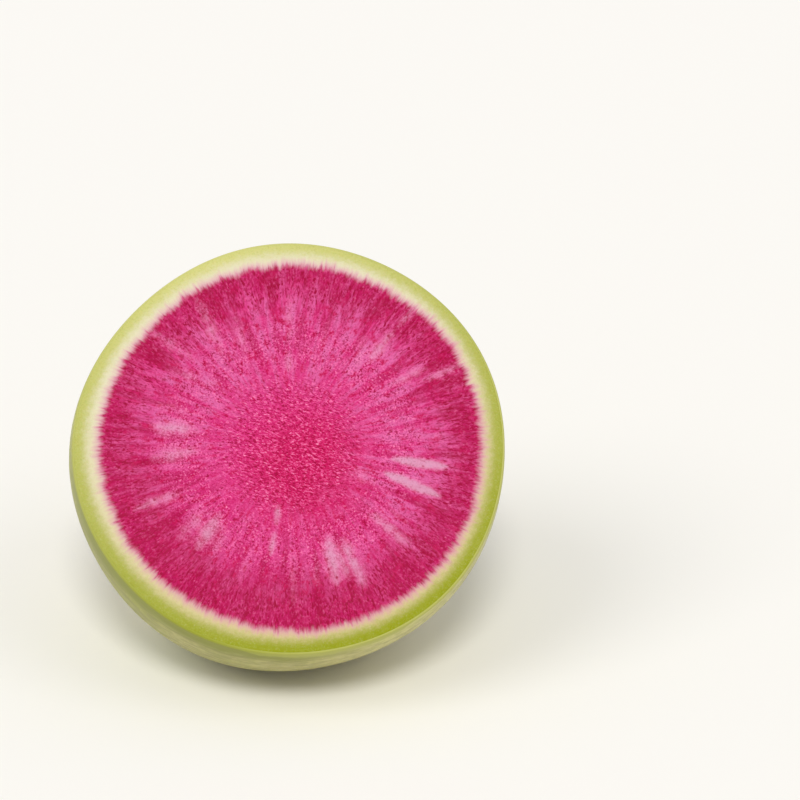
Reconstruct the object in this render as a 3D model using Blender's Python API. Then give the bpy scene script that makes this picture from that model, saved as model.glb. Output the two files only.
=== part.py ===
"""Root half of a watermelon radish, cut straight across and lying on its skin with the cut face up.

Metres, +Z up. The origin is the middle of the small flat spot that carries it. The cut face looks
towards -Y and up. The tap root leaves the far end of the dome, bends along the surface and props
the half from behind, so it can't roll back until the cut face is level.
"""

import math

import bmesh
import bpy
from mathutils import Vector

NODE_NAME = "radish_half"

# Body, in its own frame: +Z along the root's axis and out of the cut face, 0 at the widest place
CUT_RADIUS = 0.0400
CUT_HEIGHT = 0.0060
POLE_DEPTH = 0.0400
BODY_POWER = 1.95
BODY_LEAN = -0.08
RIM_LOBES = ((3, 0.0064, math.radians(202)), (4, 0.0020, math.radians(33)), (5, 0.0045, math.radians(140)))
EDGE_ROUND = 0.0003

# How it lies
FACE_TILT = math.radians(44.3)
FLAT_DEPTH = 0.0014
FLAT_BLEND = 0.0003

# Neck, where the dome narrows into the tap root
NECK_LATITUDE = math.radians(62)
NECK_LENGTH = 0.0050
NECK_DOME_PULL = 0.0120
NECK_ROOT_PULL = 0.0055

# Tap root
ROOT_LENGTH = 0.034
ROOT_RADIUS = 0.0028
ROOT_THINNING = 0.80
ROOT_TAPER_POWER = 0.8
ROOT_PRESS = 0.00015
ROOT_SWING = math.radians(62)
ROOT_SWING_POWER = 1.4
ROOT_TIP_RISE = math.radians(14)
TIP_ROUNDING = 0.4

# Relief of the skin: swells, creases round the neck, root scars, and rings on the tap root
SWELL_HEIGHT = 0.00030
CREASE_DEPTH = 0.00055
CREASE_COUNT = 5
CREASE_REACH = 0.011
RING_HEIGHT = 0.00014
RING_PITCH = 0.0046
SCAR_ROWS = (math.radians(52), math.radians(219))
SCARS_IN_ROW = 5
SCAR_FIRST = 0.0075
SCAR_STEP = 0.0072
SCAR_HEIGHT = 0.00095
SCAR_HALF_WIDTH = 0.0032
SCAR_HALF_LENGTH = 0.0021
SCAR_WANDER = math.radians(5)

# Mesh: sides round the body, and rings along each stretch
BODY_SIDES = 96
DOME_RINGS = 29
NECK_RINGS = 14
ROOT_RINGS = 24
HALVE_BELOW = (0.0105, 0.0034)

SKIN_COLOUR = (0.55, 0.60, 0.24, 1.0)
FLESH_COLOUR = (0.62, 0.03, 0.14, 1.0)


def clear_scene():
    for thing in list(bpy.data.objects):
        bpy.data.objects.remove(thing)


def make_material(name, colour, roughness):
    material = bpy.data.materials.new(name)
    material.use_nodes = True
    shader = material.node_tree.nodes["Principled BSDF"]
    shader.inputs["Base Color"].default_value = colour
    shader.inputs["Roughness"].default_value = roughness
    shader.inputs["Metallic"].default_value = 0.0
    return material


def lobe_factor(angle):
    """How far the outline stands out of a true circle at this angle round the axis."""
    return 1 + sum(size * math.cos(count * angle - phase) for count, size, phase in RIM_LOBES)


def widest_radius():
    """The radius at the widest place that gives CUT_RADIUS at the height of the cut."""
    return CUT_RADIUS / (1 - (CUT_HEIGHT / POLE_DEPTH) ** BODY_POWER) ** (1 / BODY_POWER)


def dome_ring(latitude):
    """(radius, height) of the dome at a latitude, counted down from the widest place."""
    power = 2 / BODY_POWER
    sine = math.sin(latitude)
    height = -math.copysign(POLE_DEPTH * abs(sine) ** power, sine)
    return widest_radius() * math.cos(latitude) ** power, height


def neck_ring(share):
    """(radius, height) along the neck: a cubic from the dome's slope to a straight tap root."""
    start = Vector(dome_ring(NECK_LATITUDE))
    along = (Vector(dome_ring(NECK_LATITUDE + 0.001)) - start).normalized()
    end = Vector((ROOT_RADIUS, -POLE_DEPTH - NECK_LENGTH))
    handles = start + along * NECK_DOME_PULL, end + Vector((0, NECK_ROOT_PULL))
    left = 1 - share
    spot = start * left**3 + handles[0] * (3 * left**2 * share)
    return tuple(spot + handles[1] * (3 * left * share**2) + end * share**3)


def body_rings():
    """(radius, height) of each ring from the cut's edge to the start of the tap root."""
    cut_latitude = -math.asin((CUT_HEIGHT / POLE_DEPTH) ** (BODY_POWER / 2))
    span = NECK_LATITUDE - cut_latitude
    dome = [dome_ring(cut_latitude + span * i / DOME_RINGS) for i in range(DOME_RINGS)]
    return dome + [neck_ring(i / NECK_RINGS) for i in range(NECK_RINGS + 1)]


def turned(point):
    """A point of the body's own frame, turned so that the cut face leans back by FACE_TILT."""
    cosine, sine = math.cos(FACE_TILT), math.sin(FACE_TILT)
    return Vector((point.x, point.y * cosine - point.z * sine, point.y * sine + point.z * cosine))


def body_centre(height):
    """The axis at this height of the body, turned: it leans a little to -X below the cut."""
    return turned(Vector((BODY_LEAN * (CUT_HEIGHT - height), 0, height)))


def lowest_spot():
    """The lowest point of the turned dome, found on a fine grid."""
    across, up = turned(Vector((1, 0, 0))), turned(Vector((0, 1, 0)))
    spots = []
    for step in range(121):
        radius, height = dome_ring(NECK_LATITUDE * step / 120)
        centre = body_centre(height)
        for turn in range(180, 361):
            angle = math.radians(turn)
            reach = radius * lobe_factor(angle)
            spots.append(centre + across * (reach * math.cos(angle)) + up * (reach * math.sin(angle)))
    return min(spots, key=lambda spot: spot.z)


def root_radius(share):
    return ROOT_RADIUS * (1 - ROOT_THINNING * share**ROOT_TAPER_POWER)


def root_path(start):
    """(centre, heading) of each ring of the tap root, which bends from the axis down to the surface."""
    plunge = math.pi / 2 - FACE_TILT
    drop = start.z - root_radius(0.6) + ROOT_PRESS
    bend = drop * plunge / (1 - math.cos(plunge))
    step = ROOT_LENGTH / ROOT_RINGS
    spot, path = start.copy(), []
    for ring in range(1, ROOT_RINGS + 1):
        middle = (ring - 0.5) * step
        if middle < bend:
            pitch = -plunge * (1 - middle / bend)
        else:
            pitch = ROOT_TIP_RISE * (middle - bend) / (ROOT_LENGTH - bend)
        swing = ROOT_SWING * (middle / ROOT_LENGTH) ** ROOT_SWING_POWER
        heading = Vector((
            math.sin(swing) * math.cos(pitch),
            math.cos(swing) * math.cos(pitch),
            math.sin(pitch),
        ))
        spot = spot + heading * step
        path.append((spot.copy(), heading))
    return path


def all_rings():
    """Each ring as (centre, across, up, radius, length from the cut, whether it is on the tap root)."""
    across, up = turned(Vector((1, 0, 0))), turned(Vector((0, 1, 0)))
    base = lowest_spot()
    lift = Vector((base.x, base.y, base.z + FLAT_DEPTH))
    rings, length, before = [], 0.0, None
    for radius, height in body_rings():
        if before:
            length += math.dist(before, (radius, height))
        before = radius, height
        rings.append((body_centre(height) - lift, across, up, radius, length, False))
    neck_end = length
    for ring, (centre, heading) in enumerate(root_path(rings[-1][0]), 1):
        across = (across - heading * across.dot(heading)).normalized()
        up = (up - heading * up.dot(heading) - across * up.dot(across)).normalized()
        share = ring / ROOT_RINGS
        along = neck_end + ROOT_LENGTH * share
        rings.append((centre, across, up, root_radius(share), along, True))
    return rings, neck_end


def scar_places(neck_end):
    """(angle, length from the cut, size) of the scars that side roots left in two opposite rows."""
    for row, row_angle in enumerate(SCAR_ROWS):
        for place in range(SCARS_IN_ROW):
            wander = SCAR_WANDER * math.sin(2.3 * place + 1.9 * row)
            length = neck_end - SCAR_FIRST - SCAR_STEP * (place + 0.35 * row)
            yield row_angle + wander, length, 1 - 0.13 * place


def scar_height(angle, length, radius, scar):
    """A raised lip across the skin with a sunk middle, as corky tissue leaves."""
    at_angle, at_length, size = scar
    turn = math.remainder(angle - at_angle, math.tau)
    wide = turn * radius / (SCAR_HALF_WIDTH * size)
    long = (length - at_length) / (SCAR_HALF_LENGTH * size)
    spread = wide * wide + long * long
    return SCAR_HEIGHT * size * (math.exp(-spread) - 0.8 * math.exp(-3 * spread))


def relief(angle, radius, length, neck_end, scars):
    """How far the skin stands out of its smooth form at a point."""
    from_cut = min(1.0, length / 0.012) ** 2
    to_neck = neck_end - length
    swell = math.sin(2 * angle + 0.7) * math.sin(length * 95) + math.sin(3 * angle + length * 60)
    height = SWELL_HEIGHT * swell * from_cut * min(1.0, max(0.0, to_neck) / 0.01)
    creases = 0.5 - 0.5 * math.cos(CREASE_COUNT * angle + 0.6 * math.sin(2 * angle))
    height -= CREASE_DEPTH * creases**3 * math.exp(-((to_neck - 0.004) / CREASE_REACH) ** 2)
    if to_neck < 0.001:
        height += RING_HEIGHT * math.sin(math.tau * to_neck / RING_PITCH + 0.8 * math.sin(angle))
    return height + sum(scar_height(angle, length, radius, scar) for scar in scars)


def pressed(point):
    """The point as the surface leaves it: nothing goes below it, and the skin eases off it."""
    height = point.z
    if height <= -FLAT_BLEND:
        height = 0.0
    elif height < FLAT_BLEND:
        height = (height + FLAT_BLEND) ** 2 / (4 * FLAT_BLEND)
    return Vector((point.x, point.y, height))


def add_ring(shape, ring, sides, marks, on_body=True):
    centre, across, up, radius, length, _ = ring
    made = []
    for side in range(sides):
        angle = math.tau * side / sides
        reach = radius * (lobe_factor(angle) if on_body else 1)
        place = centre + across * (reach * math.cos(angle)) + up * (reach * math.sin(angle))
        vertex = shape.verts.new(place)
        marks[vertex] = angle, radius, length
        made.append(vertex)
    return made


def join_rings(shape, first, second):
    """Quads between two rings alike, or triangles where the second has half the sides."""
    count = len(second)
    for i in range(count):
        j = (i + 1) % count
        if len(first) == count:
            shape.faces.new((first[j], first[i], second[i], second[j]))
        else:
            near, middle, far = first[2 * i], first[2 * i + 1], first[2 * j]
            shape.faces.new((middle, near, second[i]))
            shape.faces.new((middle, second[i], second[j]))
            shape.faces.new((far, middle, second[j]))


def close_tip(shape, loop, ring):
    """A low cone over the last ring, where the thread of the root has dried off."""
    centre, across, up, radius, _, _ = ring
    heading = up.cross(across)
    tip = shape.verts.new(centre + heading * (radius * TIP_ROUNDING))
    for i in range(len(loop)):
        shape.faces.new((loop[(i + 1) % len(loop)], loop[i], tip))


def raise_relief(shape, marks, neck_end):
    shape.normal_update()
    scars = list(scar_places(neck_end))
    moves = {v: v.normal * relief(*marks[v], neck_end, scars) for v in marks}
    for vertex, move in moves.items():
        vertex.co += move


def close_cut(shape, rim):
    """The flat cut face, with the skin's edge a little rounded where the knife left it."""
    normal = turned(Vector((0, 0, 1)))
    middle = sum((vertex.co for vertex in rim), Vector()) / len(rim)
    inner = []
    for vertex in rim:
        inward = (middle - vertex.co).normalized()
        inner.append(shape.verts.new(vertex.co + inward * EDGE_ROUND + normal * EDGE_ROUND))
    for i in range(len(rim)):
        j = (i + 1) % len(rim)
        shape.faces.new((rim[i], rim[j], inner[j], inner[i]))
    shape.faces.new(inner).material_index = 1


def make_radish():
    shape = bmesh.new()
    rings, neck_end = all_rings()
    # The rounding of the cut's edge stands on the first ring, so that ring starts below the cut.
    first = rings[0]
    rings[0] = (first[0] - turned(Vector((0, 0, EDGE_ROUND))), *first[1:])
    marks, loops, sides = {}, [], BODY_SIDES
    for ring in rings:
        on_root = ring[5]
        sides = BODY_SIDES // 2 ** sum(ring[3] < limit for limit in HALVE_BELOW)
        loops.append(add_ring(shape, ring, sides, marks, not on_root))
    for first_loop, second_loop in zip(loops, loops[1:]):
        join_rings(shape, first_loop, second_loop)
    close_tip(shape, loops[-1], rings[-1])
    raise_relief(shape, marks, neck_end)
    close_cut(shape, loops[0])
    for vertex in shape.verts:
        vertex.co = pressed(vertex.co)
    bmesh.ops.recalc_face_normals(shape, faces=shape.faces)
    mesh = bpy.data.meshes.new(NODE_NAME)
    shape.to_mesh(mesh)
    shape.free()
    mesh.materials.append(make_material("skin", SKIN_COLOUR, 0.45))
    mesh.materials.append(make_material("flesh", FLESH_COLOUR, 0.35))
    mesh.shade_smooth()
    mesh.set_sharp_from_angle(angle=math.radians(35))
    radish = bpy.data.objects.new(NODE_NAME, mesh)
    bpy.context.scene.collection.objects.link(radish)
    return radish


clear_scene()
make_radish()
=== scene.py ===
"""Root half of a watermelon radish: its fine surface, its finishes, and the floor, light and camera.

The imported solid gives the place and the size. Three pieces stand for it: the cut flesh, the skin with
the tap root, and the hair roots. Sizes are in metres unless a name says otherwise, and in millimetres in
the finishes. The body's own frame has its axis along +Z, out of the cut face, with 0 at the widest place,
and turns to lie on its skin.
"""

import math
from collections import namedtuple

import bmesh
import bpy
import numpy as np
from bpy.props import FloatProperty, FloatVectorProperty, IntProperty, PointerProperty
from mathutils import Matrix, Vector, noise


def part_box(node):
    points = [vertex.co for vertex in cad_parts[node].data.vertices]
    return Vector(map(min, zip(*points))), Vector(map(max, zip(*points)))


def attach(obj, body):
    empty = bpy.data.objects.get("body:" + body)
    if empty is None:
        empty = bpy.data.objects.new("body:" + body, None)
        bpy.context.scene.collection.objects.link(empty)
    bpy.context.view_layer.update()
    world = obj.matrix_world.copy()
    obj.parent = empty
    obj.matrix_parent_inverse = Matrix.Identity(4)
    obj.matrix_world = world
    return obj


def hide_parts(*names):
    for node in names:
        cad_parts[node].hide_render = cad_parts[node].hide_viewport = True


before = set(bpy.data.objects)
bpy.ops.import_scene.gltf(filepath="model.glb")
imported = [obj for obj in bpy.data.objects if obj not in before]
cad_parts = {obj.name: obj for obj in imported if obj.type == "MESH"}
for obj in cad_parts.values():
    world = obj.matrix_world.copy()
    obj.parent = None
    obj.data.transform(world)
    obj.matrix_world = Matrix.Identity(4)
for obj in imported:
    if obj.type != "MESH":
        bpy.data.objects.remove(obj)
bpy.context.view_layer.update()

bl_info = {
    "name": "Watermelon Radish Half",
    "version": (1, 0, 0),
    "blender": (4, 5, 0),
    "location": "View3D > Sidebar > Radish",
    "description": "Makes the flesh, skin and hair roots of a cut radish, and a plain studio for it",
    "category": "Add Mesh",
}

NODE = "radish_half"
MILLIMETRE = 0.001
FIT_TOLERANCE = 0.0012

# Form of the body and the tap root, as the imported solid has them
BODY_POWER = 1.95
BODY_LEAN = -0.08
RIM_LOBES = ((3, 0.0064, math.radians(202)), (4, 0.0020, math.radians(33)), (5, 0.0045, math.radians(140)))
FLAT_DEPTH = 0.0014
FLAT_BLEND = 0.0003
NECK_LATITUDE = math.radians(62)
NECK_LENGTH = 0.0050
NECK_DOME_PULL = 0.0120
NECK_ROOT_PULL = 0.0055
ROOT_THINNING = 0.80
ROOT_TAPER_POWER = 0.8
ROOT_PRESS = 0.00015
ROOT_SWING = math.radians(62)
ROOT_SWING_POWER = 1.4
ROOT_TIP_RISE = math.radians(14)
RELIEF_STARTS_OVER = 0.012
SWELL_HEIGHT = 0.00030
SWELL_WAVE = 95
SWELL_TWIST = 60
SWELL_ENDS_OVER = 0.010
CREASE_DEPTH = 0.00055
CREASE_COUNT = 5
CREASE_PLACE = 0.004
CREASE_REACH = 0.011
RING_HEIGHT = 0.00014
RING_PITCH = 0.0046
RINGS_FROM = 0.001
SCAR_ROWS = (math.radians(52), math.radians(219))
SCARS_IN_ROW = 5
SCAR_FIRST = 0.0075
SCAR_STEP = 0.0072
SCAR_HEIGHT = 0.00095
SCAR_HALF_WIDTH = 0.0032
SCAR_HALF_LENGTH = 0.0021
SCAR_WANDER = math.radians(5)
SCAR_ROW_SHIFT = 0.35
SCAR_SHRINKS = 0.13
SCAR_DIMPLE = 0.8
SCAR_DIMPLE_SHARPNESS = 3

# Finer relief, which only the visual model has
CORK_ROUGHNESS = 0.00022
CORK_GRAIN = 0.0011
CORK_FADE = 0.0040
CORK_RAGS = ((0.45, 0.0016, 0.0), (0.30, 0.0006, 7.0))
WRINKLE_HEIGHT = 0.00007
WRINKLE_PITCH = 0.0009
WRINKLE_SWAY = 0.0004
PORE_DEPTH = 0.00003
PORE_SIZE = 0.0016
PORES_START_OVER = 0.004
EDGE_ROUND = 0.0003
EDGE_STEPS = 4
ROOT_TIP_REACH = 0.4
SKIN_GAP = 0.000006
FLESH_EDGE = 0.000012
INNER_LATITUDE = math.radians(52)
INNER_DEPTH = 0.0017
DEEPENS_OVER = 0.0050
GRAIN_HEIGHT = 0.00005
GRAIN_SIZE = 0.0009
FIBRE_HEIGHT = 0.00004
FIBRE_WIDTH = 0.0008
KNIFE_WAVE = 0.00006
KNIFE_WAVE_LENGTH = 0.012
FACE_RELIEF_ENDS = 0.985
FACE_RELIEF_FADE = 0.03

# Hair roots: every third one leaves a scar, and the others the tap root, more of them near its base
HAIR_RADIUS = 0.00009
HAIR_TAPER = 0.75
HAIR_SINK = 0.0001
HAIR_LOWEST_START = 0.0012
HAIR_CLEARANCE = 0.00002
HAIR_STEPS = 9
HAIR_SIDES = 5
HAIR_ON_SCAR_EVERY = 3
HAIR_TURN_ON_SCAR = 0.03
HAIR_SLIDE_ON_SCAR = 0.0008
HAIR_REACH_ON_ROOT = (1.0, 1.8)
HAIR_LENGTHS = (0.2, 1.0)
HAIR_LENGTH_POWER = 1.6
HAIR_CURLS = (0.6, 2.2)
HAIR_THICKNESSES = (0.6, 1.2)

# Pale rays of the flesh: where each begins and ends, in millimetres across and up the cut face, its half
# width and its strength
PALE_RAYS = (
    (18.0, -2.9, 29.5, -4.8, 1.25, 1.00),
    (16.5, -5.2, 27.8, -10.6, 1.30, 1.00),
    (10.5, -5.0, 16.0, -8.0, 2.00, 0.40),
    (13.5, -12.5, 22.5, -20.5, 1.60, 0.62),
    (17.5, -12.5, 24.0, -17.0, 1.10, 0.35),
    (6.4, -17.0, 8.2, -27.5, 2.00, 0.76),
    (8.8, -17.5, 13.4, -28.0, 1.90, 0.68),
    (7.8, -19.5, 10.4, -26.5, 2.00, 0.62),
    (4.6, -19.0, 4.4, -28.0, 1.20, 0.35),
    (0.2, -19.0, 0.0, -31.0, 1.30, 0.35),
    (-2.3, -11.0, -3.1, -15.8, 0.95, 0.70),
    (-3.2, -16.4, -4.1, -21.5, 1.00, 0.70),
    (-7.5, -19.0, -10.0, -26.0, 1.30, 0.28),
    (-13.0, -12.5, -17.6, -20.0, 2.20, 0.66),
    (-15.0, -11.5, -21.5, -18.5, 1.90, 0.52),
    (-11.5, -13.5, -14.5, -21.5, 1.40, 0.44),
    (-19.5, -8.6, -29.5, -12.0, 1.30, 0.62),
    (-16.5, -0.6, -27.0, -2.0, 2.20, 0.58),
    (-16.5, 3.2, -26.5, 4.2, 2.20, 0.66),
    (-18.0, 6.6, -25.5, 8.4, 1.80, 0.38),
    (-12.5, 12.0, -23.5, 15.5, 1.90, 0.42),
    (-16.0, 16.0, -27.0, 23.5, 1.60, 0.44),
    (-12.0, 17.0, -17.5, 30.0, 1.70, 0.52),
    (-7.0, 15.0, -10.5, 26.5, 1.60, 0.42),
    (-0.2, 13.5, -0.2, 19.0, 1.10, 0.50),
    (0.0, 20.0, 0.0, 30.5, 1.30, 0.48),
    (5.0, 15.0, 7.5, 24.0, 1.40, 0.30),
    (12.4, 14.0, 14.5, 22.0, 1.30, 0.42),
    (14.0, 15.5, 20.0, 22.5, 1.50, 0.62),
    (20.0, 22.5, 25.0, 28.5, 1.10, 0.50),
    (17.5, 11.0, 26.0, 15.0, 1.30, 0.55),
    (24.0, 11.8, 33.0, 15.8, 1.15, 0.55),
    (20.0, 1.2, 30.0, 1.6, 1.50, 0.26),
)
RAY_TAPER = 0.40
RAY_END_SOFTNESS = 0.3
CORE_PLACE_MM = (2.6, -4.4)

# Sides of the half where its colours change, as ways across and up the cut face
BELOW = (-0.35, -0.94)
UPPER_LEFT = (-0.57, 0.82)
LEFT = (-0.94, -0.34)
# Side where the skin's rim is painted lighter, partly as a highlight
RIM_HIGHLIGHT_SIDE = (0.80, -0.60)
LOWER_LEFT = (-0.62, -0.78)
UNDERSIDE = (0.45, -0.89)
BOTTOM = (0.17, -0.985)
GREENEST = (0.375, -0.927)

# Finishes: the level that the flesh's noise is cut at, and the depths of the fine bumps
NOISE_LEVEL_MM = 0.45
FLESH_BUMP = 0.00012
SKIN_BUMP = 0.00018
HAIR_ROUGHNESS = 0.7

# Mesh: sides round the body, rings along each stretch, and where the sides are halved
BODY_SIDES = 288
DOME_RINGS = 104
NECK_RINGS = 64
ROOT_RINGS = 136
HALVE_BELOW = (0.0115, 0.0040, 0.0010)
FACE_SIDES = 480
FACE_RING_STEP = 0.00028
FACE_HALVE_BELOW = (0.0200, 0.0100, 0.0050, 0.0025, 0.0012)
SKIN_WALL_HALVE_BELOW = (0.0395, 0.0300)
FLESH_WALL_HALVE_BELOW = (0.0392, 0.0300)
INNER_RINGS = 14
SPREAD_MM = 27.0
ROOT_SPREAD = 0.25

# Camera: where the photograph's frame of 800 by 800 pixels puts the middle of the cut face
FRAME_PIXELS = 800
FACE_PIXEL = (290.8, 445.3)
CAMERA_DEPTH = 0.5941
FOCAL_PIXELS = 3205.6
SENSOR_WIDTH_MM = 36.0

# Studio: how far the floor lies below the half, and the soft lamps, each with the way that it shines from,
# how wide it looks, its share of the strength and its colour
FLOOR_DROP = 0.00003
FLOOR_ROUGHNESS = 0.9
FILL_TINT = (1.0, 0.997, 1.04)
LAMPS = (
    ("front_lamp", (0.0, -0.60, 0.80), math.radians(16), 1.00, (1.01, 1.0, 0.96)),
    ("left_lamp", (-0.60, -0.30, 0.75), math.radians(34), 0.54, (1.0, 1.0, 0.98)),
    ("right_lamp", (0.60, -0.30, 0.75), math.radians(34), 0.24, (1.0, 1.0, 0.98)),
)

# Colours as a screen shows them, from 0 to 255
COLOURS = {
    "core": ((198, 14, 90), "Flesh in the middle of the cut"),
    "mid": ((208, 42, 118), "Flesh half way out"),
    "outer": ((180, 4, 82), "Flesh inside the pale ring"),
    "deep": ((163, 0, 64), "Deepest wedges of the outer flesh"),
    "dark_mark": ((156, 0, 56), "Dark grain and strands"),
    "blot": ((190, 4, 78), "Soft crimson blots half way out"),
    # The light grain colour below is partly the flesh's own pale specks and partly painted glints of its wet
    # surface; the brightest specks after it are painted glints
    "fleck": ((242, 108, 168), "Light grain of the flesh"),
    "spark": ((250, 160, 190), "Brightest specks of the grain"),
    "lilac": ((212, 94, 154), "Paler clouds and wedges of the flesh"),
    "faint_ray": ((226, 124, 172), "Rays that are only a little paler"),
    "pale_ray": ((214, 154, 184), "Palest rays of the flesh"),
    "blush": ((213, 146, 172), "Pink that stains the pale ring"),
    "cream": ((219, 212, 180), "Cream ring round the pink flesh"),
    # The pale ring on its deeper green side: its own duller tone with painted shade over it
    "shaded_dull_cream": ((205, 190, 136), "The pale ring on its deeper green side"),
    "light_green": ((203, 201, 124), "Green ring where it is palest"),
    "deep_green": ((142, 149, 0), "Green ring where it is deepest"),
    "skin_green": ((162, 169, 60), "Green patches of the skin"),
    "skin_deep": ((134, 149, 28), "Darkest patches of the skin"),
    "skin_pale": ((212, 204, 130), "Pale skin under the green"),
    "skin_under": ((210, 202, 142), "Pale skin on the side that it lies on"),
    "skin_grey": ((148, 142, 90), "Dull streaks of the skin underneath"),
    "skin_root": ((234, 220, 152), "Skin round the tap root"),
    "olive": ((134, 138, 52), "Skin just below the cut"),
    "cork": ((172, 124, 66), "Rough base of the tap root"),
    "dark_cork": ((122, 80, 36), "Gaps in the cork"),
    "scar": ((212, 176, 122), "Tan scars and scuffs"),
    "hair": ((226, 198, 146), "Dry hair roots"),
}

Ring = namedtuple("Ring", "centre across up radius length root_share lobed")


def from_srgb(red, green, blue):
    """A colour that a screen shows with these values from 0 to 255, as Blender's linear colour."""
    shares = (value / 255 for value in (red, green, blue))
    return tuple(s / 12.92 if s < 0.04045 else ((s + 0.055) / 1.055) ** 2.4 for s in shares)


def length_property(name, description, metres):
    return FloatProperty(name=name, description=description, default=metres, unit="LENGTH")


def angle_property(name, description, degrees):
    return FloatProperty(name=name, description=description, default=math.radians(degrees), subtype="ANGLE")


def colour_property(key, screen_colour, description):
    name = key.replace("_", " ").capitalize()
    settings = {"default": from_srgb(*screen_colour), "size": 3, "subtype": "COLOR", "min": 0, "max": 1}
    return FloatVectorProperty(name=name, description=description, **settings)


class RadishSizes(bpy.types.PropertyGroup):
    """Sizes of the half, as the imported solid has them"""

    cut_radius: length_property("Cut radius", "Mean radius of the cut face", 0.0400)
    cut_height: length_property("Cut height", "How far above the widest place it is cut", 0.0060)
    pole_depth: length_property("Depth", "From the widest place to the dome's far end", 0.0400)
    face_tilt: angle_property("Face tilt", "How far the cut face leans back", 44.3)
    root_length: length_property("Root length", "Length of the free tap root", 0.034)
    root_radius: length_property("Root radius", "Radius of the tap root at the neck", 0.0028)
    skin_thickness: length_property("Skin thickness", "Thickness of the skin at the cut", 0.00035)
    hair_length: length_property("Hair length", "Length of the longest hair root", 0.0075)
    hair_count: IntProperty(name="Hairs", description="Number of hair roots", default=90, min=0)
    hair_seed: IntProperty(name="Hair seed", description="Seed for how the hair roots lie", default=4)


class RadishColours(bpy.types.PropertyGroup):
    """Colours of the flesh, the skin and the roots"""

    __annotations__ = {key: colour_property(key, *row) for key, row in COLOURS.items()}


class RadishStudio(bpy.types.PropertyGroup):
    """Floor, light and camera"""

    floor_colour: colour_property("floor", (247, 245, 240), "Colour of the pale floor")
    floor_size: length_property("Floor size", "Side of the floor", 8.0)
    fill_strength: FloatProperty(name="Fill", description="Strength of the even light", default=0.45)
    lamp_strength: FloatProperty(name="Lamps", description="Strength of the soft lamps", default=1.36)
    camera_height: angle_property("Camera height", "How far down the camera looks", 27)
    camera_turn: angle_property("Camera turn", "Camera's angle round the half", -2.03)


def lobe_factor(angles):
    """How far the outline stands out of a true circle at these angles round the axis."""
    return 1 + sum(size * np.cos(count * angles - phase) for count, size, phase in RIM_LOBES)


class Body:
    """The form of the half: its profile, its axis and how it lies."""

    def __init__(self, sizes):
        self.sizes = sizes
        share = (sizes.cut_height / sizes.pole_depth) ** BODY_POWER
        self.widest = sizes.cut_radius / (1 - share) ** (1 / BODY_POWER)
        self.across, self.up, self.normal = (self.turned(axis) for axis in np.eye(3))
        self.lift = np.zeros(3)
        self.lift = self.lowest_spot() + (0, 0, FLAT_DEPTH)

    def turned(self, point):
        cosine, sine = math.cos(self.sizes.face_tilt), math.sin(self.sizes.face_tilt)
        x, y, z = point
        return np.array((x, y * cosine - z * sine, y * sine + z * cosine))

    def dome(self, latitude):
        """(radius, height) at a latitude, counted down from the widest place."""
        power = 2 / BODY_POWER
        height = -math.copysign(self.sizes.pole_depth * abs(math.sin(latitude)) ** power, latitude)
        return np.array((self.widest * math.cos(latitude) ** power, height))

    def neck(self, share):
        """(radius, height) along the neck: a cubic from the dome's slope to the tap root."""
        start = self.dome(NECK_LATITUDE)
        along = self.dome(NECK_LATITUDE + 0.001) - start
        first = start + along / np.linalg.norm(along) * NECK_DOME_PULL
        end = np.array((self.sizes.root_radius, -self.sizes.pole_depth - NECK_LENGTH))
        second = end + (0, NECK_ROOT_PULL)
        left = 1 - share
        return start * left**3 + first * 3 * left**2 * share + second * 3 * left * share**2 + end * share**3

    def centre(self, height):
        """The axis at this height, turned and set down: it leans a little to -X below the cut."""
        return self.turned((BODY_LEAN * (self.sizes.cut_height - height), 0, height)) - self.lift

    def lowest_spot(self):
        angles = np.radians(np.arange(180, 361))
        spots = []
        for latitude in np.linspace(0, NECK_LATITUDE, 121):
            radius, height = self.dome(latitude)
            reach = (radius * lobe_factor(angles))[:, None]
            around = np.cos(angles)[:, None] * self.across + np.sin(angles)[:, None] * self.up
            spots.append(self.centre(height) + reach * around)
        spots = np.concatenate(spots)
        return spots[spots[:, 2].argmin()]

    def cut_latitude(self):
        share = self.sizes.cut_height / self.sizes.pole_depth
        return -math.asin(share ** (BODY_POWER / 2))

    def ring(self, radius, height, length=0.0):
        return Ring(self.centre(height), self.across, self.up, radius, length, 0.0, True)

    def root_radius(self, share):
        return self.sizes.root_radius * (1 - ROOT_THINNING * share**ROOT_TAPER_POWER)


def outer_rings(body):
    """Rings of the outer skin, from the cut's edge to the tip of the tap root, and the neck's length."""
    latitudes = np.linspace(body.cut_latitude(), NECK_LATITUDE, DOME_RINGS, endpoint=False)
    profile = [body.dome(latitude) for latitude in latitudes]
    profile += [body.neck(share) for share in np.linspace(0, 1, NECK_RINGS)]
    profile[0] = profile[0] - (0, EDGE_ROUND)
    lengths = np.concatenate(((0,), np.cumsum([math.dist(a, b) for a, b in zip(profile, profile[1:])])))
    rings = [body.ring(*spot, length) for spot, length in zip(profile, lengths)]
    return rings + root_rings(body, rings[-1]), lengths[-1]


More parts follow.
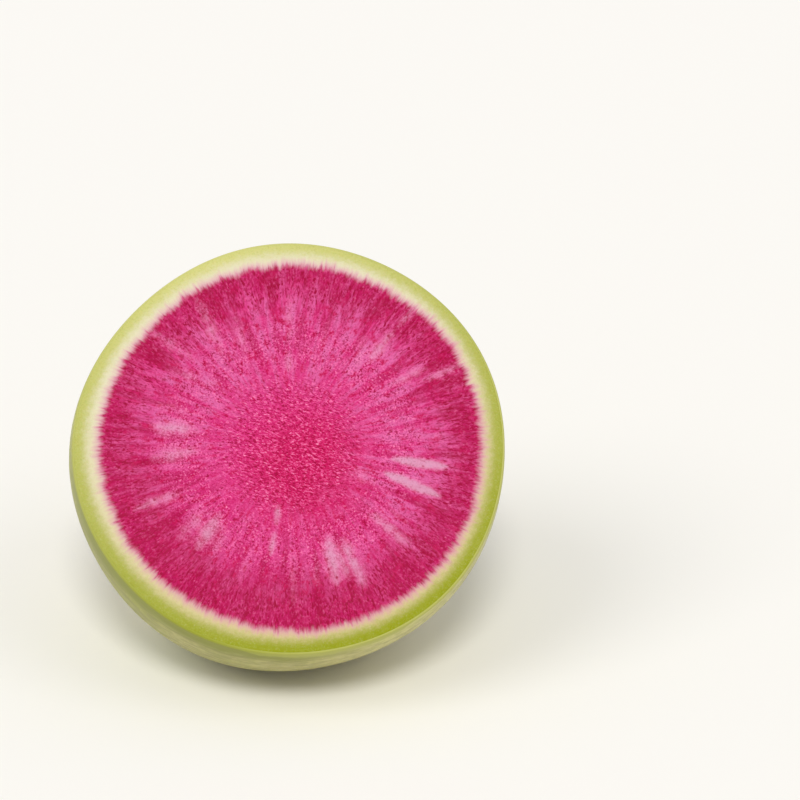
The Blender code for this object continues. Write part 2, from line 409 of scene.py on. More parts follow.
def root_rings(body, start):
    """Rings of the tap root, which bends from the body's axis down to the surface."""
    length = body.sizes.root_length
    plunge = math.pi / 2 - body.sizes.face_tilt
    drop = start.centre[2] - body.root_radius(0.6) + ROOT_PRESS
    bend = drop * plunge / (1 - math.cos(plunge))
    step = length / ROOT_RINGS
    spot, across, up, rings = start.centre, start.across, start.up, []
    for number in range(1, ROOT_RINGS + 1):
        middle = (number - 0.5) * step
        pitch = -plunge * (1 - middle / bend)
        if middle >= bend:
            pitch = ROOT_TIP_RISE * (middle - bend) / (length - bend)
        swing = ROOT_SWING * (middle / length) ** ROOT_SWING_POWER
        flat = math.cos(pitch)
        heading = np.array((math.sin(swing) * flat, math.cos(swing) * flat, math.sin(pitch)))
        spot = spot + heading * step
        across = unit(across - heading * across.dot(heading))
        up = unit(up - heading * up.dot(heading) - across * up.dot(across))
        share = number / ROOT_RINGS
        radius, reach = body.root_radius(share), start.length + length * share
        rings.append(Ring(spot, across, up, radius, reach, share, False))
    return rings


def add_object(name, data):
    """A new object of this data, in the scene."""
    made = bpy.data.objects.new(name, data)
    bpy.context.scene.collection.objects.link(made)
    return made


def unit(vector):
    return vector / np.linalg.norm(vector)


def blobs(points, size, seed=0.0):
    """Smooth noise from about -1 to 1 at these points, with blobs of this size."""
    return np.array([noise.noise(Vector(point)) for point in np.asarray(points) / size + seed])


def pressed(points, lowest=0.0):
    """The points as the surface leaves them: none goes below it, and the skin eases off it."""
    height = points[:, 2] - lowest
    eased = np.where(height < FLAT_BLEND, (height + FLAT_BLEND) ** 2 / (4 * FLAT_BLEND), height)
    points[:, 2] = np.where(height <= -FLAT_BLEND, 0, eased) + lowest
    return points


def sides_for(radius, sides, limits):
    return sides // 2 ** sum(radius < limit for limit in limits)


class Solid:
    """A closed surface in the making: a chain of rings with faces between them."""

    def __init__(self):
        self.points, self.faces, self.marks = [], [], []
        self.last = None

    def add_points(self, points, marks):
        first = len(self.points)
        self.points.extend(points)
        self.marks.extend(marks)
        return list(range(first, first + len(points)))

    def add_ring(self, ring, sides):
        """A ring of points; each carries its angle, radius, length along the skin and share of the root."""
        angles = np.arange(sides) * math.tau / sides
        reach = ring.radius * (lobe_factor(angles) if ring.lobed else np.ones(sides))
        around = np.cos(angles)[:, None] * ring.across + np.sin(angles)[:, None] * ring.up
        marks = [(angle, ring.radius, ring.length, ring.root_share) for angle in angles]
        loop = self.add_points(ring.centre + reach[:, None] * around, marks)
        if self.last and len(self.last) == 1:
            self.faces += [(self.last[0], loop[i], loop[(i + 1) % sides]) for i in range(sides)]
        elif self.last:
            self.faces += bridge(self.last, loop)
        self.last = loop
        return loop

    def add_end(self, ring, reach=0.0):
        """A single point on the ring's axis, which opens or closes the chain."""
        heading = np.cross(ring.up, ring.across)
        point = ring.centre + heading * reach
        loop = self.add_points([point], [(0.0, 0.0, ring.length, ring.root_share)])
        if self.last:
            count = len(self.last)
            self.faces += [(self.last[(i + 1) % count], self.last[i], loop[0]) for i in range(count)]
        self.last = loop

    def make(self, name, attributes, place_points):
        """The piece. place_points moves the points, given the smooth normals of the plain form."""
        mesh = bpy.data.meshes.new(name)
        mesh.from_pydata([tuple(point) for point in self.points], [], self.faces)
        shape = bmesh.new()
        shape.from_mesh(mesh)
        bmesh.ops.recalc_face_normals(shape, faces=shape.faces)
        shape.to_mesh(mesh)
        shape.free()
        normals = np.empty(len(self.points) * 3, dtype=np.float32)
        mesh.vertex_normals.foreach_get("vector", normals)
        points = place_points(np.array(self.points), normals.reshape(-1, 3).astype(float))
        mesh.vertices.foreach_set("co", points.astype(np.float32).ravel())
        for title, values in attributes.items():
            kind = "FLOAT_VECTOR" if values.ndim == 2 else "FLOAT"
            layer = mesh.attributes.new(title, kind, "POINT")
            field = "vector" if values.ndim == 2 else "value"
            layer.data.foreach_set(field, values.astype(np.float32).ravel())
        mesh.shade_smooth()
        mesh.update()
        return add_object(name, mesh)


def bridge(first, second):
    """Faces between two loops of points, where one may have half as many as the other."""
    if len(first) < len(second):
        return [face[::-1] for face in bridge(second, first)]
    count, faces = len(second), []
    for i in range(count):
        j = (i + 1) % count
        if len(first) == count:
            faces.append((first[j], first[i], second[i], second[j]))
            continue
        near, middle, far = first[2 * i], first[2 * i + 1], first[(2 * i + 2) % len(first)]
        faces += [(middle, near, second[i]), (middle, second[i], second[j]), (far, middle, second[j])]
    return faces


def scar_places(neck_end):
    """(angle, length from the cut, size) of the scars that side roots left in two opposite rows."""
    for row, row_angle in enumerate(SCAR_ROWS):
        for place in range(SCARS_IN_ROW):
            wander = SCAR_WANDER * math.sin(2.3 * place + 1.9 * row)
            length = neck_end - SCAR_FIRST - SCAR_STEP * (place + SCAR_ROW_SHIFT * row)
            yield row_angle + wander, length, 1 - SCAR_SHRINKS * place


def scar_spread(angle, length, radius, scar):
    """Squared distance from a scar's middle, where 1 is its edge."""
    at_angle, at_length, size = scar
    turn = np.mod(angle - at_angle + math.pi, math.tau) - math.pi
    wide = turn * radius / (SCAR_HALF_WIDTH * size)
    long = (length - at_length) / (SCAR_HALF_LENGTH * size)
    return wide * wide + long * long


def coarse_relief(angle, radius, length, neck_end):
    """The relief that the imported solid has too."""
    from_cut = np.minimum(1.0, length / RELIEF_STARTS_OVER) ** 2
    to_neck = neck_end - length
    swell = np.sin(2 * angle + 0.7) * np.sin(length * SWELL_WAVE) + np.sin(3 * angle + length * SWELL_TWIST)
    height = SWELL_HEIGHT * swell * from_cut * np.clip(to_neck / SWELL_ENDS_OVER, 0, 1)
    creases = 0.5 - 0.5 * np.cos(CREASE_COUNT * angle + 0.6 * np.sin(2 * angle))
    height -= CREASE_DEPTH * creases**3 * np.exp(-(((to_neck - CREASE_PLACE) / CREASE_REACH) ** 2))
    rings = RING_HEIGHT * np.sin(math.tau * to_neck / RING_PITCH + 0.8 * np.sin(angle))
    height += np.where(to_neck < RINGS_FROM, rings, 0)
    for scar in scar_places(neck_end):
        spread = scar_spread(angle, length, radius, scar)
        dimple = SCAR_DIMPLE * np.exp(-SCAR_DIMPLE_SHARPNESS * spread)
        height += SCAR_HEIGHT * scar[2] * (np.exp(-spread) - dimple)
    return height


def cork_share(angle, radius, length, root_share, neck_end, points):
    """Where the skin is corky, from 0 to 1: on scars, at the end of the neck and on the root's base."""
    ragged = sum(amount * blobs(points, size, seed) for amount, size, seed in CORK_RAGS)
    cork = np.zeros(len(points))
    for scar in scar_places(neck_end):
        spread = scar_spread(angle, length, radius, scar)
        cork = np.maximum(cork, np.clip(1.1 - spread * 0.6 + 1.6 * ragged, 0, 1) * scar[2])
    base = np.clip(1.3 - np.abs(root_share - 0.10) / 0.24 + ragged, 0, 1)
    on_neck = np.clip(1 + (length - neck_end) / CORK_FADE + ragged, 0, 1)
    return np.maximum(cork, base * on_neck)


def skin_solid(body, rings):
    """The skin's surface from its inner wall over the cut's edge to the root's tip; and the wall's points."""
    sizes = body.sizes
    solid = Solid()
    inner = inner_rings(body, sizes.skin_thickness)
    solid.add_end(inner[-1])
    for ring in reversed(inner):
        solid.add_ring(ring, sides_for(ring.radius, BODY_SIDES, SKIN_WALL_HALVE_BELOW))
    wall_count = len(solid.points)
    for step in range(EDGE_STEPS + 1):
        turn = math.pi / 2 * (1 - step / EDGE_STEPS)
        radius = sizes.cut_radius - EDGE_ROUND * (1 - math.cos(turn))
        height = sizes.cut_height - EDGE_ROUND * (1 - math.sin(turn))
        solid.add_ring(body.ring(radius, height), BODY_SIDES)
    for ring in rings[1:]:
        solid.add_ring(ring, sides_for(ring.radius, BODY_SIDES, HALVE_BELOW))
    solid.add_end(rings[-1], rings[-1].radius * ROOT_TIP_REACH)
    return solid, wall_count


def skin_relief(points, marks, cork, neck_end):
    """How far the relief stands out at these points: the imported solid's, with the finer one on it."""
    angle, radius, length, root_share = marks
    wrinkles = np.sin(math.tau * (length + WRINKLE_SWAY * np.sin(2 * angle)) / WRINKLE_PITCH)
    fine = WRINKLE_HEIGHT * wrinkles * np.clip(1.6 * cork, 0, 1) * (root_share > 0)
    fine += CORK_ROUGHNESS * cork * blobs(points, CORK_GRAIN, 3.0)
    fine += PORE_DEPTH * blobs(points, PORE_SIZE, 11.0) * np.clip(length / PORES_START_OVER, 0, 1)
    return coarse_relief(angle, radius, length, neck_end) + fine


def make_skin(sizes, colours):
    """The skin with the tap root: rounded outside at the cut and square against the flesh."""
    body = Body(sizes)
    rings, neck_end = outer_rings(body)
    solid, wall_count = skin_solid(body, rings)
    points = np.array(solid.points)
    marks = np.array(solid.marks).T
    angle, radius, length, root_share = marks
    outside = np.arange(len(points)) >= wall_count
    cork = np.where(outside, cork_share(angle, radius, length, root_share, neck_end, points), 0)
    relief = np.where(outside, skin_relief(points, marks, cork, neck_end), 0)

    def place_points(points, normals):
        moved = pressed(points + normals * relief[:, None])
        return np.where(outside[:, None], moved, pressed(points, sizes.skin_thickness))

    spread = np.where(root_share > 0, ROOT_SPREAD, 1.0) * SPREAD_MM
    around = np.stack((np.cos(angle) * spread, np.sin(angle) * spread, length / MILLIMETRE), axis=1)
    attributes = {
        "around": around,
        "from_cut": np.clip(length / neck_end, 0, 1),
        "root_share": root_share,
        "cork": cork,
    }
    piece = solid.make("skin_and_tap_root", attributes, place_points)
    piece.data.materials.append(skin_finish(colours))
    return piece


def inner_rings(body, at_cut, gap=0.0):
    """Rings inside the skin, this far in at the cut and further in below, to where its piece turns solid."""
    rings = []
    for latitude in np.linspace(body.cut_latitude(), INNER_LATITUDE, INNER_RINGS):
        radius, height = body.dome(latitude)
        deepening = min(1.0, (body.sizes.cut_height - height) / DEEPENS_OVER)
        depth = at_cut + (INNER_DEPTH - at_cut) * deepening + gap
        rings.append(body.ring(radius - depth, height + gap * deepening))
    return rings


def pale_ray_share(x_mm, y_mm):
    """How pale the rays make the flesh at points of the cut face, from 0 to 1."""
    pale = np.zeros(len(x_mm))
    for from_x, from_y, to_x, to_y, half_width, strength in PALE_RAYS:
        length = math.dist((from_x, from_y), (to_x, to_y))
        aim_x, aim_y = (to_x - from_x) / length, (to_y - from_y) / length
        reach = ((x_mm - from_x) * aim_x + (y_mm - from_y) * aim_y) / length
        aside = ((y_mm - from_y) * aim_x - (x_mm - from_x) * aim_y) / half_width
        ends = np.clip(4 * reach * (1 - reach), 0, 1)
        taper = np.maximum(ends, 0.01) ** RAY_TAPER
        pale = np.maximum(pale, strength * ends**RAY_END_SOFTNESS * np.exp(-((aside / taper) ** 2)))
    return pale


def flesh_solid(body):
    """The flesh's surface from the middle of the cut face to the end of its wall; and the face's points."""
    sizes = body.sizes
    edge = sizes.cut_radius - sizes.skin_thickness - SKIN_GAP
    solid = Solid()
    solid.add_end(body.ring(0, sizes.cut_height))
    for radius in np.linspace(0, edge - FLESH_EDGE, int(edge / FACE_RING_STEP))[1:]:
        solid.add_ring(body.ring(radius, sizes.cut_height), sides_for(radius, FACE_SIDES, FACE_HALVE_BELOW))
    face_count = len(solid.points)
    wall = inner_rings(body, sizes.skin_thickness, SKIN_GAP)
    wall[0] = wall[0]._replace(centre=wall[0].centre - body.normal * FLESH_EDGE)
    for ring in wall:
        solid.add_ring(ring, sides_for(ring.radius, FACE_SIDES, FLESH_WALL_HALVE_BELOW))
    solid.add_end(wall[-1])
    return solid, face_count


def flesh_relief(points, rays, share):
    """How far the cut face stands out at these points: grain, fibres and the waves that the knife left."""
    grain = blobs(points, GRAIN_SIZE) * np.clip(1.2 - share, 0, 1)
    fibres = blobs(rays * (1, 1, 0.15), FIBRE_WIDTH / MILLIMETRE) * np.clip(2 * share - 0.6, 0, 1)
    waves = blobs(points, KNIFE_WAVE_LENGTH, 5.0)
    relief = GRAIN_HEIGHT * grain + FIBRE_HEIGHT * fibres + KNIFE_WAVE * waves
    return relief * np.clip((FACE_RELIEF_ENDS - share) / FACE_RELIEF_FADE, 0, 1)


def make_flesh(sizes, colours):
    """The flesh: the cut face in full detail, and a plain wall inside the skin."""
    body = Body(sizes)
    solid, face_count = flesh_solid(body)
    points = np.array(solid.points)
    face = np.arange(len(points)) < face_count
    flat = points - body.centre(sizes.cut_height)
    x_mm, y_mm = flat @ body.across / MILLIMETRE, flat @ body.up / MILLIMETRE
    angle = np.arctan2(y_mm, x_mm)
    radius_mm = np.hypot(x_mm, y_mm)
    share = radius_mm * MILLIMETRE / (sizes.cut_radius * lobe_factor(angle))
    rays = np.stack((np.cos(angle) * SPREAD_MM, np.sin(angle) * SPREAD_MM, radius_mm), axis=1)
    relief = np.where(face, flesh_relief(points, rays, share), 0)

    def place_points(points, normals):
        return pressed(points + body.normal * relief[:, None], sizes.skin_thickness + SKIN_GAP)

    attributes = {
        "cut_place": np.stack((x_mm, y_mm, share), axis=1),
        "ray_place": rays,
        "pale_ray": np.where(face, pale_ray_share(x_mm, y_mm), 0),
    }
    piece = solid.make("cut_flesh", attributes, place_points)
    piece.data.materials.append(flesh_finish(colours))
    return piece


class Finish:
    """A node material in the making: each call adds a node and gives its output."""

    def __init__(self, name, colours=None):
        self.colours = colours
        self.tone = None
        self.material = bpy.data.materials.new(name)
        self.material.use_nodes = True
        self.tree = self.material.node_tree
        self.shader = self.tree.nodes["Principled BSDF"]

    def feed(self, socket, value):
        """Give the socket a value, the output of another node, or the colour that has this key."""
        if isinstance(value, str):
            value = getattr(self.colours, value)
        if isinstance(value, bpy.types.NodeSocket):
            self.tree.links.new(value, socket)
        elif socket.type == "RGBA":
            socket.default_value = (*value, 1.0)
        else:
            socket.default_value = value

    def add(self, kind, *values, **settings):
        """A node with these settings, its first inputs fed with these values."""
        node = self.tree.nodes.new("ShaderNode" + kind)
        for name, value in settings.items():
            setattr(node, name, value)
        for socket, value in zip(node.inputs, values):
            self.feed(socket, value)
        return node

    def attribute(self, name):
        return self.add("Attribute", attribute_name=name).outputs

    def place_mm(self):
        """The place on the piece, in millimetres."""
        return self.stretched(self.add("TexCoord").outputs["Object"], (1000, 1000, 1000))

    def math(self, operation, first, second=0.0, clamp=False):
        return self.add("Math", first, second, operation=operation, use_clamp=clamp).outputs[0]

    def sum(self, first, *others):
        for other in others:
            first = self.math("ADD", first, other)
        return first

    def times(self, first, *others):
        for other in others:
            first = self.math("MULTIPLY", first, other)
        return first

    def less(self, value, start=1.0, clamp=False):
        """The start less the value."""
        return self.math("SUBTRACT", start, value, clamp)

    def swing(self, noise, size):
        """A noise from 0 to 1 as a shift either way, this large from end to end."""
        return self.times(self.sum(noise, -0.5), size)

    def rise(self, value, start, end, low=0.0, high=1.0):
        """A soft step from low to high as the value goes from start to end."""
        return self.add("MapRange", value, start, end, low, high, interpolation_type="SMOOTHSTEP").outputs[0]

    def blend(self, share, first, second):
        """The first number where the share is 0 and the second where it is 1."""
        node = self.add("Mix", share)
        self.feed(node.inputs[2], first)
        self.feed(node.inputs[3], second)
        return node.outputs[0]

    def mix(self, share, first, second):
        """The first colour where the share is 0 and the second where it is 1."""
        node = self.add("Mix", share, data_type="RGBA")
        self.feed(node.inputs[6], first)
        self.feed(node.inputs[7], second)
        return node.outputs[2]

    def paint(self, share, colour):
        """Lay this colour over the tone so far, as strongly as the share says."""
        self.tone = self.mix(share, self.tone, colour)

    def stretched(self, place, factors):
        return self.add("VectorMath", place, factors, operation="MULTIPLY").outputs[0]

    def slanted(self, place, angle, stretch):
        """The place turned so that what is drawn with it runs along this angle, stretched this much."""
        turn = self.add("VectorRotate", place, rotation_type="Z_AXIS")
        turn.inputs["Angle"].default_value = -angle
        return self.stretched(turn.outputs[0], (1 / stretch, 1, 1))

    def towards(self, place, side):
        """How far round to this side of the half a place is: 1 there and -1 opposite."""
        way = (side[0] / SPREAD_MM, side[1] / SPREAD_MM, 0)
        return self.add("VectorMath", place, way, operation="DOT_PRODUCT").outputs["Value"]

    def noise(self, place, size, detail=2.0, roughness=0.5, distortion=0.0):
        """Cloudy noise from 0 to 1, with clouds of this size in the place's own unit."""
        node = self.add("TexNoise")
        self.feed(node.inputs["Vector"], place)
        node.inputs["Scale"].default_value = 1 / size
        node.inputs["Detail"].default_value = detail
        node.inputs["Roughness"].default_value = roughness
        node.inputs["Distortion"].default_value = distortion
        return node.outputs["Fac"]

    def streaks(self, place, along, *shape):
        """Noise drawn out along the place's third axis, which counts for this share of the others."""
        return self.noise(self.stretched(place, (1, 1, along)), *shape)

    def bands(self, place, across, *shape):
        """Noise drawn out round the half, where the way round counts for this share."""
        return self.noise(self.stretched(place, (across, across, 1)), *shape)

    def dots(self, place, size, radius, softness):
        """Round dots, 1 in their middle, one in each cell of this size."""
        node = self.add("TexVoronoi")
        self.feed(node.inputs["Vector"], place)
        node.inputs["Scale"].default_value = 1 / size
        return self.rise(node.outputs["Distance"], radius, radius + softness, 1.0, 0.0)

    def bump(self, height, distance):
        node = self.add("Bump")
        self.feed(node.inputs["Height"], height)
        node.inputs["Distance"].default_value = distance
        return node.outputs[0]

    def finish(self, roughness, normal=None, **constants):
        """The material in the tone so far, with these constants on its shader."""
        self.feed(self.shader.inputs["Base Color"], self.tone)
        self.feed(self.shader.inputs["Roughness"], roughness)
        if normal:
            self.feed(self.shader.inputs["Normal"], normal)
        for name, value in constants.items():
            self.shader.inputs[name.replace("_", " ").title().replace("Ior", "IOR")].default_value = value
        return self.material


def flesh_finish(colours):
    """Crimson to pink flesh with grain, blots, strands and pale rays, in a cream and green ring."""
    f = Finish("radish_flesh", colours)
    place = f.attribute("cut_place")["Vector"]
    ray = f.attribute("ray_place")["Vector"]
    share = f.add("SeparateXYZ", place).outputs["Z"]
    level = (0, 0, NOISE_LEVEL_MM)
    flat = f.add("VectorMath", place, (1, 1, 0), level, operation="MULTIPLY_ADD").outputs[0]
    grain = flesh_grain(f, flat, ray, share)
    flesh_tone(f, flat, ray, share)
    flesh_marks(f, flat, ray, share, grain)
    flesh_rays(f, flat, ray, share, grain)
    flesh_edge(f, flat, ray, share)
    return f.finish(
        f.rise(f.noise(flat, 4.0), 0.3, 0.7, 0.32, 0.46),
        f.bump(grain, FLESH_BUMP),
        subsurface_weight=0.06,
        subsurface_radius=(1.0, 0.35, 0.30),
        subsurface_scale=0.0008,
        specular_ior_level=0.06,
    )


def flesh_grain(f, flat, ray, share):
    """Fine grain from 0 to 1: it slopes down to the right in the middle, then is even, then runs outwards."""
    sloping = f.noise(f.slanted(flat, math.radians(-20), 2.1), 0.27, 2.0, 0.65, 0.6)
    even = f.noise(flat, 0.33, 2.0, 0.65, 0.3)
    outward = f.streaks(ray, 0.55, 0.32, 2.0, 0.65, 0.3)
    inner = f.blend(f.rise(share, 0.28, 0.46), sloping, even)
    return f.blend(f.rise(share, 0.55, 0.80), inner, outward)


def flesh_tone(f, flat, ray, share):
    """Base tone: pink in the middle, a lilac haze in soft wedges, and a deep band of uneven width."""
    core = (*CORE_PLACE_MM, 0)
    from_core = f.add("VectorMath", flat, core, operation="DISTANCE").outputs["Value"]
    clouds = f.noise(flat, 3.4)
    wedges = f.streaks(ray, 0.15, 1.9, 3.0, 0.6)
    below = f.rise(f.towards(ray, BELOW), -0.2, 0.9)
    f.tone = f.mix(f.rise(from_core, 4.0, 17.0), "core", "mid")
    band = f.sum(share, band_shift(f, ray, wedges, below))
    f.paint(f.rise(band, 0.60, 0.80), "outer")
    hazy = f.times(f.rise(share, 0.18, 0.42), f.rise(share, 0.64, 0.84, 1.0, 0.12))
    hazy = f.times(hazy, f.less(f.times(below, 0.55)))
    haze = f.sum(f.times(f.rise(clouds, 0.38, 0.60), 0.36), f.times(f.rise(wedges, 0.44, 0.60), 0.64))
    f.paint(f.times(haze, hazy), "lilac")
    pale_streaks = f.rise(f.streaks(ray, 0.06, 1.1), 0.50, 0.66)
    pale_streaks = f.times(pale_streaks, f.rise(share, 0.55, 0.72), f.rise(below, 0.2, 1.0, 0.32, 0.12))
    f.paint(pale_streaks, "lilac")
    deep_wedges = f.times(f.rise(wedges, 0.50, 0.36), f.rise(share, 0.25, 0.62), 0.60)
    f.paint(deep_wedges, "deep")


def band_shift(f, ray, wedges, below):
    """How much nearer the middle the deep band begins: more so below, and less at the upper left."""
    broad = f.streaks(ray, 0.04, 6.5, 1.0)
    upper_left = f.rise(f.towards(ray, UPPER_LEFT), 0.60, 0.95)
    uneven = f.sum(f.swing(broad, 0.30), f.swing(wedges, -0.24))
    return f.sum(uneven, f.times(below, 0.085), f.times(upper_left, -0.055))


def flesh_marks(f, flat, ray, share, grain):
    """Soft crimson blots half way out, with light marks, partly painted glints, and dark marks over them."""
    blots = f.rise(f.streaks(ray, 0.70, 1.25, 2.0, 0.6), 0.53, 0.68)
    blots = f.times(blots, f.rise(share, 0.16, 0.28), f.rise(share, 0.62, 0.80, 0.95, 0.5))
    f.paint(f.times(blots, f.rise(grain, 0.70, 0.40, 0.5, 1.0)), "blot")
    strands = f.streaks(ray, 0.22, 0.38, 2.0, 0.6)
    pale_marks_and_glints(f, flat, share, grain, strands, blots)
    dark_marks(f, ray, share, grain, strands)


def pale_marks_and_glints(f, flat, share, grain, strands, blots):
    """Light grain in patches, partly painted glints, light strands, and the brightest specks as painted
    glints, calmer outwards and in the blots.
    """
    outwards = f.rise(share, 0.50, 0.76)
    calm = f.sum(f.times(f.rise(share, 0.40, 0.60), 0.12), f.times(outwards, 0.32), f.times(blots, 0.25))
    patchy = f.rise(f.noise(flat, 1.5), 0.32, 0.62, 0.35, 1.0)
    # Light grain: partly pale specks of the flesh, partly painted glints of the wet surface
    pale_grain_and_glints = f.times(f.rise(grain, 0.50, 0.62), patchy, f.less(calm, 0.66, clamp=True))
    f.paint(pale_grain_and_glints, "fleck")
    f.paint(f.times(f.rise(strands, 0.52, 0.68), outwards, 0.08), "fleck")
    # Painted glints: the brightest specks of the wet grain
    painted_glints = f.times(f.rise(grain, 0.63, 0.70), f.less(calm, 0.58))
    f.paint(painted_glints, "spark")


def dark_marks(f, ray, share, grain, strands):
    """Dark grain in clusters, and dark strands and dashes that run outwards to the ring."""
    clusters = f.rise(f.streaks(ray, 0.60, 1.5), 0.42, 0.60, 0.40, 1.0)
    clusters = f.blend(f.rise(share, 0.20, 0.36), 1.0, clusters)
    dark_grain = f.times(f.rise(grain, 0.48, 0.37), clusters)
    dashes = f.streaks(ray, 0.30, 0.36, 1.0)
    dashes = f.times(f.rise(dashes, 0.42, 0.33), f.rise(share, 0.58, 0.74))
    dark_strands = f.times(f.rise(strands, 0.47, 0.36), f.rise(share, 0.58, 0.78), 0.70)
    marks = f.math("MAXIMUM", f.math("MAXIMUM", dark_grain, dark_strands), dashes)
    f.paint(marks, "dark_mark")


def flesh_rays(f, flat, ray, share, grain):
    """The pale rays, uneven at their sides and mottled by the grain, and small dark specks over all of it."""
    pale = f.attribute("pale_ray")["Fac"]
    uneven = f.sum(pale, f.swing(f.noise(flat, 1.6), 1.0), f.swing(grain, 1.1))
    there = f.rise(pale, 0.05, 0.40)
    ray_tone = f.mix(f.rise(pale, 0.35, 0.80), "faint_ray", "pale_ray")
    f.paint(f.times(f.rise(uneven, 0.04, 1.05), there, 0.84), ray_tone)
    specks = f.dots(f.stretched(ray, (1, 1, 0.75)), 1.30, 0.10, 0.16)
    here_and_there = f.rise(f.noise(ray, 3.5), 0.44, 0.58)
    specks = f.times(specks, here_and_there, f.rise(share, 0.22, 0.34), 0.85)
    f.paint(specks, "dark_mark")


def ring_green(f, around):
    """Green of the ring at the skin, deepest at the lower right, and how near that side is, from 0 to 1."""
    nearness = f.sum(f.times(f.towards(around, GREENEST), 0.5), 0.5)
    deepness = f.math("POWER", nearness, 0.7, clamp=True)
    return f.mix(deepness, "light_green", "deep_green"), deepness


def ragged_edge(f, ray, share, deepness):
    """The share of the radius, shifted by teeth, tongues and waves, and by the side that it is on."""
    teeth = f.swing(f.streaks(ray, 0.20, 0.38, 2.0, 0.6), 0.040)
    tongues = f.swing(f.streaks(ray, 0.06, 0.9), 0.034)
    waves = f.swing(f.streaks(ray, 0.02, 4.0), 0.030)
    strands = f.times(f.rise(f.streaks(ray, 0.10, 0.42, 1.0), 0.52, 0.66), -0.008)
    left = f.rise(f.towards(ray, LEFT), 0.3, 0.95)
    ragged = f.sum(share, teeth, tongues, waves, strands)
    return f.sum(ragged, f.times(left, 0.014), f.times(deepness, -0.002), 0.001)


def flesh_edge(f, flat, ray, share):
    """The pink ends in a ragged stain, inside a cream ring that turns green at the skin; ring and stain are
    painted darker on the deeper green side, partly as shade.
    """
    green, deepness = ring_green(f, ray)
    # Cream turns darker towards the deeper green side: partly its own duller tone, partly painted shade
    cream = f.mix(f.rise(deepness, 0.25, 1.0), "cream", "shaded_dull_cream")
    speckle = f.noise(flat, 0.8, 4.0, 0.65)
    green = f.mix(f.rise(speckle, 0.38, 0.74, 0.0, 0.12), green, "light_green")
    outward = f.sum(share, f.swing(speckle, 0.060), f.times(deepness, 0.008))
    into_green = f.rise(outward, 0.907, 0.980)
    ring = f.mix(into_green, cream, green)
    sand = f.noise(flat, 0.32, 3.0, 0.7)
    ring = f.mix(f.rise(sand, 0.52, 0.66, 0.0, 0.11), ring, "cream")
    ring = f.mix(f.times(f.rise(sand, 0.47, 0.34), into_green, 0.22), ring, "olive")

    edge = ragged_edge(f, ray, share, deepness)
    # The stain takes on some of the deep flesh colour on the deeper green side as painted shade
    blush = f.mix(f.times(deepness, 0.12), "blush", "outer")
    stain = f.times(f.rise(edge, 0.880, 0.932, 1.0, 0.0), 0.84)
    pink = f.rise(edge, 0.864, 0.904, 1.0, 0.0)
    f.tone = f.mix(pink, f.mix(stain, ring, blush), f.tone)


def skin_finish(colours):
    """Thin skin: green by the cut, cream round the tap root, with cork on scars and the root's base."""
    f = Finish("radish_skin", colours)
    around = f.attribute("around")["Vector"]
    from_cut = f.attribute("from_cut")["Fac"]
    root_share = f.attribute("root_share")["Fac"]
    cork = f.attribute("cork")["Fac"]
    place = f.place_mm()
    mottle = f.noise(place, 1.3, 3.0, 0.6)
    rings = f.bands(around, 0.12, 0.45, 2.0, 0.6)
    grain = f.noise(place, 0.35, 3.0, 0.65)

    skin_tone(f, place, around, from_cut, mottle)
    skin_marks(f, place, around, from_cut)
    skin_edge(f, around, from_cut)
    skin_rim(f, around, from_cut)
    on_root = f.rise(root_share, 0.0, 0.05)
    f.paint(on_root, root_tone(f, around, root_share, rings))
    f.paint(f.rise(cork, 0.05, 0.80), cork_tone(f, place, around, grain))

    height = f.sum(f.times(grain, cork, 1.4), f.times(rings, on_root, 0.8), f.times(mottle, 0.20))
    return f.finish(
        f.rise(cork, 0.1, 0.7, 0.42, 0.85),
        f.bump(height, SKIN_BUMP),
        subsurface_weight=0.10,
        subsurface_radius=(1.0, 0.8, 0.35),
        subsurface_scale=0.0010,
        specular_ior_level=0.20,
    )


def skin_tone(f, place, around, from_cut, mottle):
    """Cloudy green that gives way to cream by the root, paler and streaked with grey underneath."""
    patches = f.noise(place, 15.0, 3.0, 0.55)
    green = f.rise(f.sum(from_cut, f.swing(patches, 1.3)), 0.78, 0.12)
    f.tone = f.mix(f.rise(from_cut, 0.30, 0.85), "skin_pale", "skin_root")
    f.paint(f.times(green, 0.85), "skin_green")
    deep = f.times(f.rise(f.noise(place, 8.0, 3.0, 0.6), 0.50, 0.72), green, 0.55)
    f.paint(deep, "skin_deep")
    under = f.sum(f.towards(around, UNDERSIDE), f.swing(patches, 0.8))
    under = f.times(f.rise(under, 0.35, 0.90), f.rise(from_cut, 0.45, 0.70, 0.9, 0.0))
    f.paint(under, "skin_under")
    streaks = f.streaks(around, 0.16, 1.3, 3.0, 0.65, 0.6)
    f.paint(f.times(f.rise(streaks, 0.48, 0.66), 0.35), "skin_pale")
    mottled = f.times(f.rise(mottle, 0.40, 0.70), f.rise(from_cut, 0.90, 0.40, 0.12, 0.40))
    f.paint(mottled, "skin_green")
    grey = f.bands(around, 0.30, 0.9, 3.0, 0.7, 0.8)
    f.paint(f.times(f.rise(grey, 0.40, 0.68), under, 0.70), "skin_grey")


def skin_marks(f, place, around, from_cut):
    """Pale pores, brown dashes round the skin, and tan scuffs towards the root."""
    pores = f.dots(place, 1.9, 0.06, 0.07)
    pores = f.times(pores, f.rise(f.noise(place, 7.0), 0.45, 0.60), 0.55)
    f.paint(pores, "skin_root")
    dashes = f.dots(f.stretched(around, (0.30, 0.30, 1)), 1.7, 0.05, 0.08)
    dashes = f.times(dashes, f.rise(f.noise(place, 9.0), 0.50, 0.60), 0.40)
    f.paint(dashes, "cork")
    scuffs = f.rise(f.noise(place, 3.2, 4.0, 0.7), 0.58, 0.70)
    scuffs = f.times(scuffs, f.rise(from_cut, 0.35, 0.75), 0.35)
    f.paint(scuffs, "scar")


